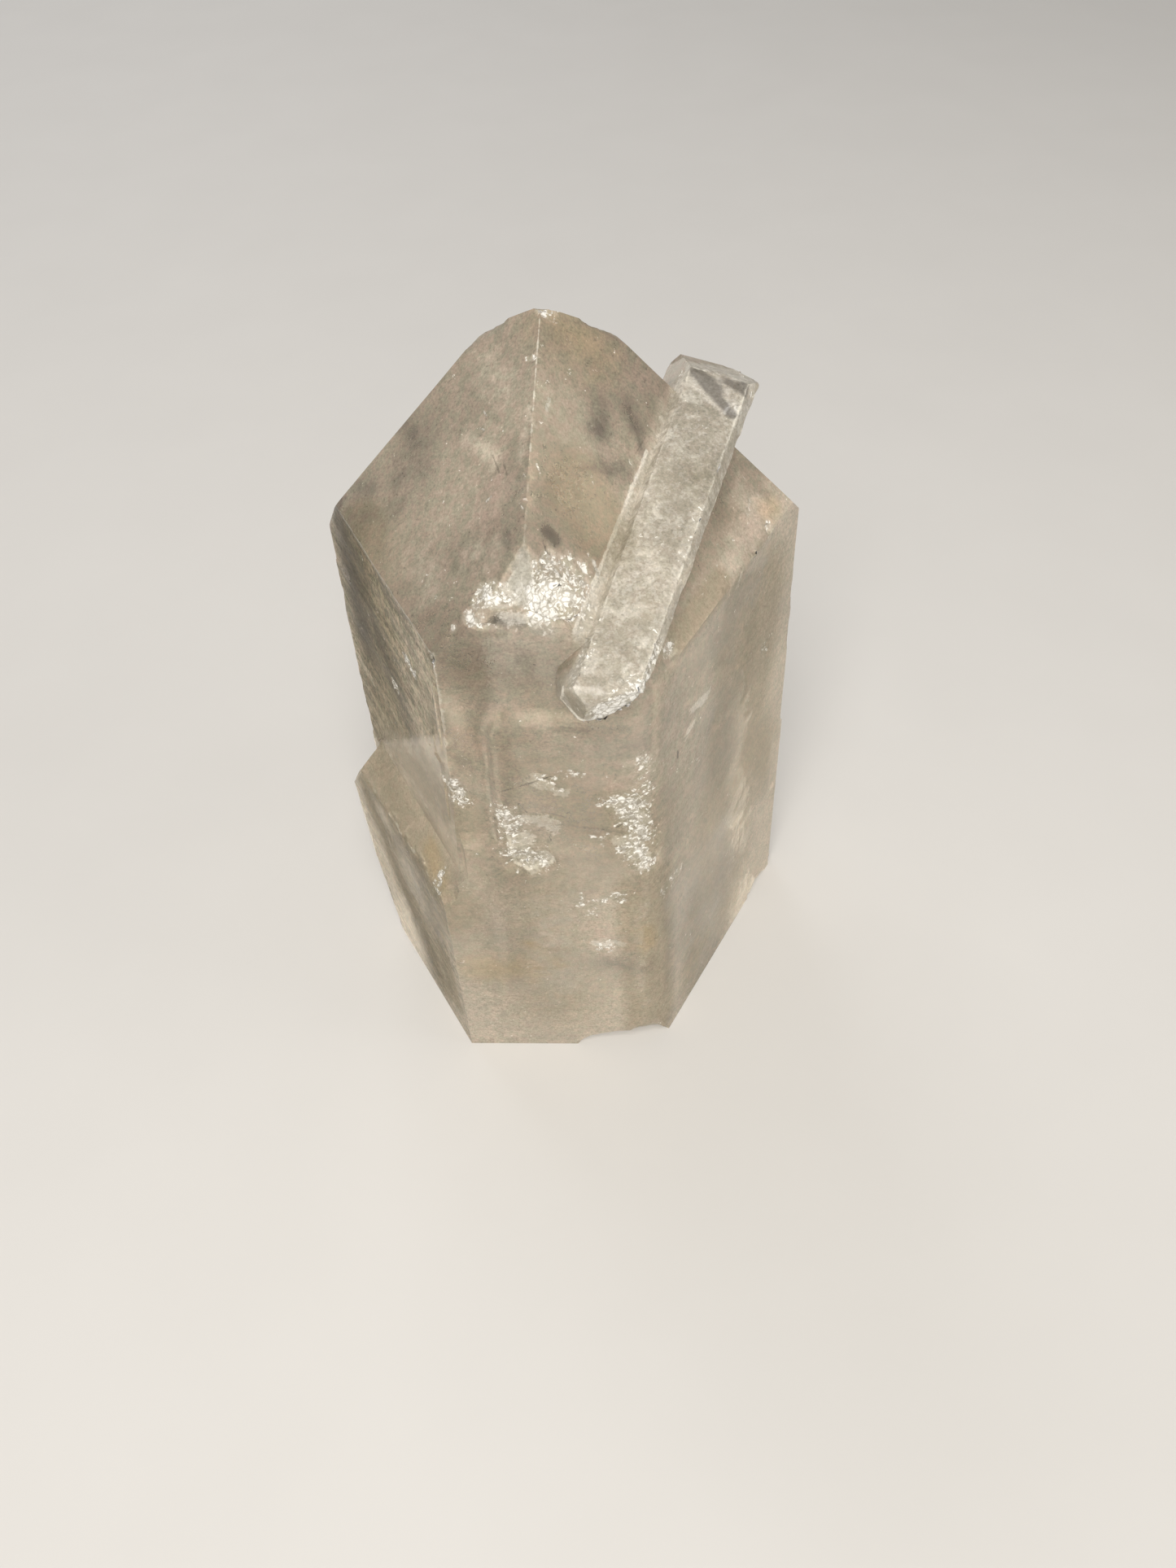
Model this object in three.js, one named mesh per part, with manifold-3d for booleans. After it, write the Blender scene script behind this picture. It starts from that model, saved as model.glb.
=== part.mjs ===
// A hand-sized specimen of clear quartz, grown as one piece and cut off flat at its root.
//
// Quartz grows as a six-sided prism, closed by two sets of three sloping faces that alternate
// round the tip. Growth stops and starts, so a real prism face is a stack of low terraces, each a
// little further out than the one above it. Every body here is therefore a convex crystal bounded
// by flat faces, and the specimen is the sum of them, less the hollows that knocks have left.
//
// Units are millimetres, +Z is up along the main crystal's own axis, and -Y is the front.

import * as THREE from 'three';
import { ConvexGeometry } from 'three/addons/geometries/ConvexGeometry.js';
import { mergeVertices } from 'three/addons/utils/BufferGeometryUtils.js';
import Module from 'manifold-3d';

// ---- Driving dimensions ---------------------------------------------------------------------

// The height at which the root is sawn off. Bodies are built down to the root's depth first, and
// the saw takes off a slab that is wider than the specimen.
const CUT_HEIGHT = -0.9;
const ROOT_DEPTH = 6;
const SLAB_WIDTH = 120;

// A terrace is this much inside the faces that it shares with the crystal it grew on.
const TERRACE_INSET = 0.06;

// The main crystal. Each face has the compass direction of its outward normal (0 is +X and 90 is
// +Y), the rise of that normal above the horizon, and its distance from the crystal's axis.
const MAIN = {
  frontPrism: { direction: -92.5, rise: 0, distance: 30.2 },
  rightPrism: { direction: -32.0, rise: 1.6, distance: 25.0 },
  backRightPrism: { direction: 27.8, rise: 2.2, distance: 27.5 },
  backPrism: { direction: 88.0, rise: 1.2, distance: 29.0 },
  backLeftPrism: { direction: 147.8, rise: 0, distance: 23.9 },
  leftPrism: { direction: -153.5, rise: 0.8, distance: 26.95 },
  frontTip: { direction: -91.4, rise: 32.8, distance: 69.95 },
  rightTip: { direction: -32.9, rise: 40.1, distance: 65.2 },
  backRightTip: { direction: 28.2, rise: 39.9, distance: 65.1 },
  backTip: { direction: 89.0, rise: 39.1, distance: 60.9 },
  backLeftTip: { direction: 148.3, rise: 35.9, distance: 62.4 },
  leftTip: { direction: -153.3, rise: 45.5, distance: 74.4 },
};

// A narrow face that blunts the front ridge of the tip, widening as it comes down.
const RIDGE_BEVEL = { direction: -88.8, rise: 60.7, distance: 89.87 };

// Terraces on the prism faces: which face, how far out it stands, and the height of its ledge.
// The sloping face named beside it forms the ledge. The sides keep to the crystal's own faces,
// unless a side is named with the distance at which the terrace stops short, and a corner of a
// ledge can be cut by a face of its own.
const TERRACES = [
  { face: 'frontPrism', ledgeFace: 'frontTip', out: 0.75, ledge: 69.4,
    short: { leftPrism: 23.0 }, corner: { direction: -154, rise: 24, distance: 47.5 } },
  { face: 'frontPrism', ledgeFace: 'frontTip', out: 1.0, ledge: 47.4, short: {} },
  { face: 'leftPrism', ledgeFace: 'leftTip', out: 0.15, ledge: 73.5, short: { frontPrism: 29.3 } },
  { face: 'leftPrism', ledgeFace: 'leftTip', out: 0.27, ledge: 68.0, short: { frontPrism: 27.6 } },
  { face: 'leftPrism', ledgeFace: 'leftTip', out: 0.38, ledge: 61.0, short: { frontPrism: 29.0 } },
  { face: 'leftPrism', ledgeFace: 'leftTip', out: 0.5, ledge: 53.0, short: { frontPrism: 26.0 } },
  { face: 'rightPrism', ledgeFace: 'rightTip', out: 0.13, ledge: 62.5, short: { frontPrism: 28.2 } },
  { face: 'rightPrism', ledgeFace: 'rightTip', out: 0.26, ledge: 49.0, short: {} },
  { face: 'rightPrism', ledgeFace: 'rightTip', out: 0.4, ledge: 35.0, short: { backRightPrism: 25.5 } },
  { face: 'rightPrism', ledgeFace: 'rightTip', out: 0.55, ledge: 20.5, short: {} },
  { face: 'backRightPrism', ledgeFace: 'backRightTip', out: 0.5, ledge: 57.0, short: {} },
  { face: 'backRightPrism', ledgeFace: 'backRightTip', out: 1.1, ledge: 33.0,
    short: { backPrism: 24.0 } },
  { face: 'backPrism', ledgeFace: 'backTip', out: 0.7, ledge: 49.0, short: { backLeftPrism: 19.5 } },
  { face: 'backPrism', ledgeFace: 'backTip', out: 1.6, ledge: 34.0, short: {} },
  { face: 'backPrism', ledgeFace: 'backTip', out: 2.3, ledge: 15.0, short: { backRightPrism: 23.0 } },
  { face: 'backLeftPrism', ledgeFace: 'backLeftTip', out: 0.4, ledge: 54.0, short: {} },
  { face: 'backLeftPrism', ledgeFace: 'backLeftTip', out: 0.9, ledge: 37.0,
    short: { backPrism: 25.0 } },
];

// The lower crystal on the left, parallel to the main one and sharing its front.
const SIDE_CRYSTAL = {
  frontPrism: { direction: -92.5, rise: 0, distance: 31.2 },
  rightPrism: { direction: -32, rise: 0, distance: 4 },
  backPrism: { direction: 88, rise: 0, distance: 6 },
  backLeftPrism: { direction: 148.1, rise: -3.9, distance: 23.7 },
  leftPrism: { direction: -150.3, rise: 0, distance: 30.6 },
  leftTip: { direction: -150.7, rise: 35.5, distance: 46.6 },
  backLeftTip: { direction: 148.3, rise: 30.4, distance: 37.4 },
  brokenRootCorner: { direction: -178, rise: -8.9, distance: 30.0 },
};

// The smooth shoulder above the lower crystal: a layer on the left prism face, whose upper edge
// climbs steeply to the front.
const SHOULDER = {
  leftPrism: { direction: -152, rise: 1.9, distance: 28.65 },
  backLeftPrism: { direction: 147.8, rise: 0, distance: 20.9 },
  ledge: { direction: 118.9, rise: 45.8, distance: 34.8 },
};

// The slim crystal lying across the tip. Its faces are given about its own axis, with direction 0
// facing out of the tip's slope and 90 to the right, and its length runs up along that axis.
const SLIM_FOOT = new THREE.Vector3(1.7, -35.3, 76.8);
const SLIM_AXIS = new THREE.Vector3(0.34, 0.906, 0.254).normalize();
const SLIM_FACING = new THREE.Vector3(0.162, -0.322, 0.933);
// Each side's distance from the axis at the foot, and how far up it its tip face starts.
const SLIM_SIDES = [
  { distance: 2.6, length: 41.3 },
  { distance: 4.75, length: 43.1 },
  { distance: 3.35, length: 43.8 },
  { distance: 2.8, length: 43.4 },
  { distance: 4.8, length: 48.0 },
  { distance: 3.15, length: 46.0 },
];
// In degrees: how far the sides lean outwards from the foot up, how far the crystal is turned
// about its own axis, and the rise of its tip faces.
const SLIM_FLARE = 0.84;
const SLIM_TURN = -4;
const SLIM_TIP_RISE = 38.2;
// A nearly level face of its own blunts the left half of its end.
const SLIM_END = { direction: -90, rise: 76, distance: 44.7 };
// Its foot is a worn break: flat chips at several slopes that round off the end.
const SLIM_BREAK = [
  { direction: 90, rise: -55, distance: 0.9 },
  { direction: 60, rise: -62, distance: 1.0 },
  { direction: -90, rise: -62, distance: 1.3 },
  { direction: -90, rise: -30, distance: 2.7 },
  { direction: 180, rise: -45, distance: 2.6 },
  { direction: 0, rise: -40, distance: 1.75 },
  { direction: -135, rise: -50, distance: 2.4 },
  { direction: -60, rise: -66, distance: 1.5 },
];

// Hollows left by knocks: where each one is centred, its half sizes along X, Y and Z, and how far
// it is rolled over in the plane of the front face.
const HOLLOWS = [
  { at: [0.2, -28.4, 86.1], half: [4.6, 2.5, 3.6], roll: -30 },
  { at: [-6.6, -30.6, 82.6], half: [3.6, 1.3, 1.6], roll: 5 },
  { at: [-9.0, -30.1, 84.2], half: [1.6, 1.4, 1.5], roll: 0 },
  { at: [-6.2, -32.0, 50.6], half: [4.4, 1.7, 7.6], roll: 4 },
  { at: [-6.4, -31.8, 45.0], half: [4.0, 1.6, 3.2], roll: -8 },
  { at: [5.6, -32.5, 58.2], half: [3.0, 1.9, 5.4], roll: 8 },
  { at: [6.9, -32.6, 49.0], half: [2.6, 1.9, 6.0], roll: -6 },
  { at: [-13.9, -30.6, 57.0], half: [1.5, 1.3, 3.6], roll: 5 },
  { at: [1.8, -32.1, 38.0], half: [3.6, 1.0, 1.1], roll: -3 },
  { at: [5.0, -32.4, 26.8], half: [4.6, 1.4, 2.8], roll: 6 },
  { at: [-17.1, -30.9, 39.2], half: [1.3, 1.2, 3.8], roll: 3 },
  { at: [-18.6, -22.3, 70.3], half: [0.7, 0.9, 1.3], roll: 0 },
  { at: [10.1, -28.4, 75.6], half: [2.6, 1.8, 1.6], roll: 20 },
  { at: [20.7, -10.3, 74.7], half: [0.7, 0.9, 0.8], roll: 0 },
  { at: [23.0, -6.8, 74.7], half: [0.8, 1.3, 0.8], roll: 0 },
  { at: [25.2, -6.4, 55.6], half: [0.9, 1.3, 1.9], roll: 0 },
  { at: [17.5, -18.6, 56.0], half: [1.6, 1.9, 3.4], roll: 12 },
  { at: [-1.6, -3.2, 101.9], half: [1.7, 1.5, 1.5], roll: 0 },
  { at: [6.2, -32.6, -1.7], half: [8.4, 5.6, 5.3], roll: -2 },
  { at: [29.6, -5.0, -1.8], half: [3.4, 5.2, 3.0], roll: 0 },
  { at: [-27.5, 4.5, -1.6], half: [4.6, 5.4, 3.1], roll: 0 },
  { at: [9.0, 31.5, -1.9], half: [7.5, 4.2, 3.6], roll: 0 },
  { at: [12.5, 30.2, 38.0], half: [3.6, 2.2, 5.2], roll: 14 },
  { at: [-12.0, 27.6, 26.0], half: [4.2, 2.6, 4.6], roll: -10 },
  { at: [-26.2, 12.4, 44.0], half: [2.0, 2.8, 4.4], roll: 0 },
];
// How finely the ball that cuts a hollow is divided, and how lumpy it is for its size.
const HOLLOW_DETAIL = 3;
const HOLLOW_ROUGHNESS = 0.09;

// ---- Shapes ---------------------------------------------------------------------------------

const wasm = await Module();
wasm.setup();

const DEGREES = THREE.MathUtils.DEG2RAD;
const UP = new THREE.Vector3(0, 0, 1);
const MERGE_TOLERANCE = 1e-4;
const INSIDE_TOLERANCE = 1e-6;
const PARALLEL_TOLERANCE = 1e-7;

// The plane of a face, from its direction, its rise and its distance from the axis.
function facePlane({ direction, rise, distance }) {
  const level = Math.cos(rise * DEGREES);
  const normal = new THREE.Vector3(
    level * Math.cos(direction * DEGREES),
    level * Math.sin(direction * DEGREES),
    Math.sin(rise * DEGREES),
  );
  return new THREE.Plane(normal, -distance);
}

// The point where three planes meet, or null where two of them are nearly parallel.
function meetingPoint(first, second, third) {
  const across = new THREE.Vector3().crossVectors(second.normal, third.normal);
  const volume = first.normal.dot(across);
  if (Math.abs(volume) < PARALLEL_TOLERANCE) return null;
  const point = across.multiplyScalar(-first.constant);
  const secondPart = new THREE.Vector3().crossVectors(third.normal, first.normal);
  const thirdPart = new THREE.Vector3().crossVectors(first.normal, second.normal);
  point.addScaledVector(secondPart, -second.constant);
  point.addScaledVector(thirdPart, -third.constant);
  return point.divideScalar(volume);
}

// The convex crystal that a list of faces encloses.
function crystalGeometry(faces) {
  const planes = faces.map(facePlane);
  const corners = [];
  for (let i = 0; i < planes.length; i += 1) {
    for (let j = i + 1; j < planes.length; j += 1) {
      for (let k = j + 1; k < planes.length; k += 1) {
        const point = meetingPoint(planes[i], planes[j], planes[k]);
        if (!point) continue;
        const inside = planes.every((plane) => plane.distanceToPoint(point) < INSIDE_TOLERANCE);
        const known = corners.some((corner) => corner.distanceTo(point) < MERGE_TOLERANCE);
        if (inside && !known) corners.push(point);
      }
    }
  }
  return new ConvexGeometry(corners);
}

// A closed geometry with its shared corners merged, ready to join or cut.
function solid(geometry) {
  const bare = geometry.clone();
  bare.deleteAttribute('normal');
  bare.deleteAttribute('uv');
  const merged = mergeVertices(bare, MERGE_TOLERANCE);
  const vertProperties = new Float32Array(merged.attributes.position.array);
  const triVerts = new Uint32Array(merged.index.array);
  return new wasm.Manifold(new wasm.Mesh({ numProp: 3, vertProperties, triVerts }));
}

const rootFace = { direction: 0, rise: -90, distance: ROOT_DEPTH };

// The main crystal's faces, drawn in by the terrace inset.
function innerFaces() {
  const drawnIn = ([name, face]) => [name, { ...face, distance: face.distance - TERRACE_INSET }];
  return Object.fromEntries(Object.entries(MAIN).map(drawnIn));
}

// A terrace is the whole crystal again, with one prism face further out and the sloping face
// above it lowered, so that the two meet at the height of the ledge.
function terraceGeometry({ face, ledgeFace, out, ledge, short, corner }) {
  const faces = innerFaces();
  for (const [name, distance] of Object.entries(short)) {
    faces[name] = { ...faces[name], distance };
  }
  const outer = facePlane({ ...MAIN[face], distance: MAIN[face].distance + out });
  const slope = facePlane(MAIN[ledgeFace]);
  const level = new THREE.Plane(UP, -ledge);
  const across = new THREE.Plane(UP.clone().cross(outer.normal).normalize(), 0);
  const onLedge = meetingPoint(outer, level, across);
  faces[face] = { ...MAIN[face], distance: MAIN[face].distance + out };
  faces[ledgeFace] = { ...MAIN[ledgeFace], distance: slope.normal.dot(onLedge) };
  const list = [...Object.values(faces), rootFace];
  return crystalGeometry(corner ? [...list, corner] : list);
}

// The slim crystal, built standing on its own axis and then laid in place.
function slimGeometry() {
  const faces = SLIM_SIDES.flatMap(({ distance, length }, side) => {
    const direction = 60 * side + SLIM_TURN;
    const topDistance = distance + length * Math.tan(SLIM_FLARE * DEGREES);
    const tipDistance = topDistance * Math.cos(SLIM_TIP_RISE * DEGREES)
      + length * Math.sin(SLIM_TIP_RISE * DEGREES);
    return [
      { direction, rise: -SLIM_FLARE, distance },
      { direction, rise: SLIM_TIP_RISE, distance: tipDistance },
    ];
  });
  const geometry = crystalGeometry([...faces, SLIM_END, ...SLIM_BREAK]);
  const rightward = new THREE.Vector3().crossVectors(SLIM_AXIS, SLIM_FACING).normalize();
  const facing = new THREE.Vector3().crossVectors(rightward, SLIM_AXIS);
  const placement = new THREE.Matrix4().makeBasis(facing, rightward, SLIM_AXIS);
  placement.setPosition(SLIM_FOOT);
  return geometry.applyMatrix4(placement);
}

// A hollow is cut by a lumpy ball, which leaves the scalloped surface of a break in glass.
function hollowGeometry({ at, half, roll }, index) {
  const ball = new THREE.IcosahedronGeometry(1, HOLLOW_DETAIL);
  ball.deleteAttribute('normal');
  ball.deleteAttribute('uv');
  const lumpy = mergeVertices(ball, MERGE_TOLERANCE);
  const position = lumpy.attributes.position;
  for (let i = 0; i < position.count; i += 1) {
    const chance = THREE.MathUtils.seededRandom(index * position.count + i);
    const corner = new THREE.Vector3().fromBufferAttribute(position, i);
    corner.multiplyScalar(1 + HOLLOW_ROUGHNESS * (2 * chance - 1));
    position.setXYZ(i, ...corner);
  }
  lumpy.scale(...half);
  lumpy.rotateY(roll * DEGREES);
  return lumpy.translate(...at);
}

// ---- The specimen ---------------------------------------------------------------------------

let crystal = solid(crystalGeometry([...Object.values(MAIN), RIDGE_BEVEL, rootFace]));
for (const terrace of TERRACES) {
  crystal = crystal.add(solid(terraceGeometry(terrace)));
}
const shoulder = { ...innerFaces(), ...SHOULDER, side: SIDE_CRYSTAL.leftPrism };
for (const faces of [SIDE_CRYSTAL, shoulder]) {
  crystal = crystal.add(solid(crystalGeometry([...Object.values(faces), rootFace])));
}
crystal = crystal.add(solid(slimGeometry()));
HOLLOWS.forEach((hollow, index) => {
  crystal = crystal.subtract(solid(hollowGeometry(hollow, index)));
});

// The root is sawn off level, so that the specimen stands on the cut.
const sawnOff = new THREE.BoxGeometry(SLAB_WIDTH, SLAB_WIDTH, 2 * ROOT_DEPTH);
sawnOff.translate(0, 0, CUT_HEIGHT - ROOT_DEPTH);
crystal = crystal.subtract(solid(sawnOff));

const { vertProperties, triVerts, numProp } = crystal.getMesh();
const geometry = new THREE.BufferGeometry();
const positions = new THREE.BufferAttribute(new Float32Array(vertProperties), numProp);
geometry.setAttribute('position', positions);
geometry.setIndex(new THREE.BufferAttribute(new Uint32Array(triVerts), 1));

// The origin is the middle of the footprint's box, at the level of the cut.
geometry.computeBoundingBox();
const { min, max } = geometry.boundingBox;
geometry.translate(-(min.x + max.x) / 2, -(min.y + max.y) / 2, -min.z);
geometry.computeVertexNormals();

const quartz = new THREE.MeshStandardMaterial({ color: '#b5aa9b', roughness: 0.2, metalness: 0 });
const specimen = new THREE.Mesh(geometry, quartz);
specimen.name = 'quartz_crystal';

const object = new THREE.Group();
object.add(specimen);

export default object;
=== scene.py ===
# %% [markdown]
# # A clear quartz crystal
#
# The real thing fits in a palm: an upright six-sided prism with a sloping tip, a lower crystal on
# its left, and a slim crystal lying across the tip. All of it grew together, so it is one stone.
# Quartz is as clear as glass, but this one is cloudy inside, white where it is broken, and
# stained a little yellow. This lesson gives the plain faceted solid a natural skin, then wires one
# material that is clear, milky, frosted or stained from place to place.

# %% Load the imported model
import math

import bpy
import numpy as np
from mathutils import Matrix, Vector, noise


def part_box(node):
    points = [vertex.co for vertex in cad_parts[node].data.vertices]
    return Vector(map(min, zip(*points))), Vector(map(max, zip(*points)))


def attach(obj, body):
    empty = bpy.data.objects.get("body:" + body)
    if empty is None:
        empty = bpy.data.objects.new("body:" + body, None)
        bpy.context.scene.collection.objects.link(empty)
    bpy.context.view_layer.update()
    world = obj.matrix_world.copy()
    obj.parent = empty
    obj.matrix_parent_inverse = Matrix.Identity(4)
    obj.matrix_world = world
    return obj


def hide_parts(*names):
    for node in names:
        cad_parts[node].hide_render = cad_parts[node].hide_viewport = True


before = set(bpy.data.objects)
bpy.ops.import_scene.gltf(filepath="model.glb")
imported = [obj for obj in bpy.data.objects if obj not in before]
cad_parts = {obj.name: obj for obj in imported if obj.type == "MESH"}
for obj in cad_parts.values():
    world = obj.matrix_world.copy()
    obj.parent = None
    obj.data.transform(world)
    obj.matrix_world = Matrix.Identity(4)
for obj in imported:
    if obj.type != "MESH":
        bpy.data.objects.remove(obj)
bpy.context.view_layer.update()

MM = 0.001


def in_metres(millimetres):
    """The same place, from millimetres to metres."""
    return Vector(millimetres) * MM


cad_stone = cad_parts["quartz_crystal"]
foot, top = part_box("quartz_crystal")
print("the stone is", [round(side / MM, 1) for side in top - foot], "mm")

# %% [markdown]
# ## Camera
#
# The camera stands close, about one and a half crystal heights from the front, and looks well
# down. Up close the upright edges run together towards the foot, so its distance matters as much
# as its direction. Its place is given rather than fitted to the stone, so that it stays put.

# %% Camera
CAMERA_PLACE = (1.93, -112.55, 160.9)
CAMERA_DIP = math.radians(50.08)
CAMERA_ROLL = math.radians(-2.01)
LENS_MM = 27.05

camera = bpy.data.objects.new("camera", bpy.data.cameras.new("camera"))
bpy.context.scene.collection.objects.link(camera)
camera.data.lens = LENS_MM
camera.data.clip_start = 0.005
camera.matrix_world = (
    Matrix.Translation(in_metres(CAMERA_PLACE))
    @ Matrix.Rotation(math.pi / 2 - CAMERA_DIP, 4, "X")
    @ Matrix.Rotation(CAMERA_ROLL, 4, "Z")
)
bpy.context.scene.camera = camera
print("camera looks down by", round(math.degrees(CAMERA_DIP), 1), "degrees")

# %% [markdown]
# ## Shader arithmetic
#
# A material is a small sum over the surface: this much cloud, less that much crack. Written as
# Python expressions it reads like that sum. One class stands for a wire that comes out of a node
# and answers to + - *, and a bench adds any other node by its type, settings and inputs.


# %% Wires and the bench
class Wire:
    """What comes out of one node, ready for arithmetic or for another node's input."""

    def __init__(self, bench, socket):
        self.bench = bench
        self.socket = socket

    def maths(self, operation, *values):
        return self.bench.maths(operation, self, *values)

    def __add__(self, other):
        return self.maths("ADD", other)

    def __sub__(self, other):
        return self.maths("SUBTRACT", other)

    def __mul__(self, other):
        return self.maths("MULTIPLY", other)

    def __rsub__(self, other):
        return self.bench.maths("SUBTRACT", other, self)

    __radd__ = __add__
    __rmul__ = __mul__

    def ramp(self, low, high):
        """Rises smoothly from 0 at low to 1 at high."""
        settings = {"interpolation_type": "SMOOTHSTEP"}
        return self.bench.node("ShaderNodeMapRange", settings, {0: self, 1: low, 2: high})


class Bench:
    """One material on the workbench, and the ways to add nodes to it."""

    def __init__(self, name):
        self.material = bpy.data.materials.new(name)
        self.material.use_nodes = True
        self.material.node_tree.nodes.clear()

    def node(self, kind, settings=None, inputs=None, output=0):
        """Adds a node, sets its settings, then gives its inputs a value or a wire each."""
        tree = self.material.node_tree
        node = tree.nodes.new(kind)
        for name, value in (settings or {}).items():
            setattr(node, name, value)
        for name, value in (inputs or {}).items():
            if isinstance(value, Wire):
                tree.links.new(value.socket, node.inputs[name])
            else:
                node.inputs[name].default_value = value
        return Wire(self, node.outputs[output]) if node.outputs else node

    def maths(self, operation, *values):
        return self.node("ShaderNodeMath", {"operation": operation}, dict(enumerate(values)))

    def vector(self, operation, *values):
        settings = {"operation": operation}
        return self.node("ShaderNodeVectorMath", settings, dict(enumerate(values)))

    def mix(self, share, first, second):
        """The first colour, or the second where share is 1."""
        settings = {"data_type": "RGBA"}
        return self.node("ShaderNodeMix", settings, {0: share, 6: first, 7: second}, output=2)

    def noise(self, place, scale, detail=2.0, roughness=0.5, distortion=0.0):
        inputs = {
            "Vector": place,
            "Scale": scale,
            "Detail": detail,
            "Roughness": roughness,
            "Distortion": distortion,
        }
        return self.node("ShaderNodeTexNoise", None, inputs)

    def attribute(self, name):
        return self.node("ShaderNodeAttribute", {"attribute_name": name}, output="Fac")

    def distance_to(self, place, start, end):
        """How far a place is from the straight line between two points."""
        line = Vector(end) - Vector(start)
        away = self.vector("SUBTRACT", place, start)
        share = self.node(
            "ShaderNodeVectorMath", {"operation": "DOT_PRODUCT"}, {0: away, 1: line}, output="Value"
        )
        settings = {"operation": "DIVIDE", "use_clamp": True}
        share = self.node("ShaderNodeMath", settings, {0: share, 1: line.length_squared})
        settings = {"operation": "SCALE"}
        nearest = self.node("ShaderNodeVectorMath", settings, {0: line, "Scale": share})
        settings = {"operation": "DISTANCE"}
        return self.node("ShaderNodeVectorMath", settings, {0: away, 1: nearest}, output="Value")


def colour(red, green, blue):
    return (red, green, blue, 1.0)


print("the bench is ready")

# %% [markdown]
# ## Studio
#
# A pale matte floor and soft light from four large panels, as in a product booth: a strong one
# high in front, weaker ones low in front, at the right and behind. Clear stone shows mostly what
# is round it, so the room is kept darker than the floor: without that, its edges would have
# nothing dark to bend and the facets would melt into one another.

# %% Floor
FLOOR_SIDE = 4.0
FLOOR_GAP = 0.05 * MM

floor_paint = Bench("pale_floor")
floor_place = floor_paint.node("ShaderNodeTexCoord", output="Object")
floor_mottle = floor_paint.noise(floor_place, 40.0, detail=3.0)
floor_colour = floor_paint.mix(floor_mottle, colour(0.64, 0.625, 0.60), colour(0.67, 0.655, 0.63))
floor_shader = floor_paint.node(
    "ShaderNodeBsdfPrincipled", None, {"Base Color": floor_colour, "Roughness": 0.7}
)
floor_paint.node("ShaderNodeOutputMaterial", None, {"Surface": floor_shader})

bpy.ops.object.select_all(action="DESELECT")
bpy.ops.mesh.primitive_plane_add(size=FLOOR_SIDE, location=(0, 0, -FLOOR_GAP))
floor = bpy.context.active_object
floor.name = "floor"
floor.data.materials.append(floor_paint.material)
print("floor", FLOOR_SIDE, "m across")


# %% Light panels and room
def light_panel(name, place, aim, size, watts, tint):
    """A square soft light at a place, facing the point it is aimed at."""
    lamp = bpy.data.lights.new(name, "AREA")
    lamp.size = size
    lamp.energy = watts
    lamp.color = tint
    panel = bpy.data.objects.new(name, lamp)
    bpy.context.scene.collection.objects.link(panel)
    panel.location = place
    panel.rotation_euler = (Vector(aim) - Vector(place)).to_track_quat("-Z", "Y").to_euler()
    return panel


middle = (0, 0, 0.05)
light_panel("key_panel", (-0.04, -0.47, 0.72), middle, 0.45, 7.0, (1.0, 0.965, 0.915))
light_panel("right_panel", (0.75, -0.15, 0.30), middle, 0.35, 0.9, (1.0, 0.965, 0.92))
light_panel("front_panel", (0.05, -0.85, 0.22), middle, 0.35, 0.8, (1.0, 0.97, 0.93))
light_panel("back_panel", (-0.30, 0.6, 0.55), middle, 0.5, 1.6, (0.98, 0.98, 1.0))

ROOM_COLOUR = colour(0.95, 0.94, 0.92)
ROOM_STRENGTH = 0.25

room = bpy.data.worlds.new("room")
room.use_nodes = True
room_light = room.node_tree.nodes["Background"]
room_light.inputs["Color"].default_value = ROOM_COLOUR
room_light.inputs["Strength"].default_value = ROOM_STRENGTH
bpy.context.scene.world = room
bpy.context.scene.view_settings.view_transform = "Standard"
print("four panels in a room of strength", ROOM_STRENGTH)

# %% [markdown]
# ## Skin of the stone
#
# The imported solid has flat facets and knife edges. A real crystal's faces have fine relief and
# its edges are slightly worn. The solid can't be displaced as it is, because its big facets have
# no points inside them. So a copy is merged, and remeshed into small even quads. The sharp kind
# of remesh is used, which keeps the crisp creases that a voxel remesh would round off.

# %% A fine copy of the solid
REMESH_DEPTH = 8
REMESH_SCALE = 0.60
MERGE_WITHIN = 1e-7


def chosen(piece):
    """Makes the piece the only thing selected."""
    bpy.ops.object.select_all(action="DESELECT")
    piece.select_set(True)
    bpy.context.view_layer.objects.active = piece


def merged_copy(node, name):
    """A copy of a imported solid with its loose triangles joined."""
    chosen(node)
    bpy.ops.object.duplicate()
    copy = bpy.context.active_object
    copy.name = name
    copy.data.materials.clear()
    bpy.ops.object.mode_set(mode="EDIT")
    bpy.ops.mesh.select_all(action="SELECT")
    bpy.ops.mesh.remove_doubles(threshold=MERGE_WITHIN)
    bpy.ops.mesh.normals_make_consistent(inside=False)
    bpy.ops.object.mode_set(mode="OBJECT")
    return copy


def finish_with(piece, kind, **settings):
    """Adds a modifier to the piece, sets it, and applies it."""
    modifier = piece.modifiers.new(kind.lower(), kind)
    for name, value in settings.items():
        setattr(modifier, name, value)
    chosen(piece)
    bpy.ops.object.modifier_apply(modifier=modifier.name)


facets = merged_copy(cad_stone, "facets")
stone = merged_copy(cad_stone, "crystal")
finish_with(stone, "REMESH", mode="SHARP", octree_depth=REMESH_DEPTH, scale=REMESH_SCALE)
finish_with(stone, "SHRINKWRAP", target=facets, wrap_method="NEAREST_SURFACEPOINT")
bpy.data.objects.remove(facets)
print("skin has", len(stone.data.polygons), "faces")
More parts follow.
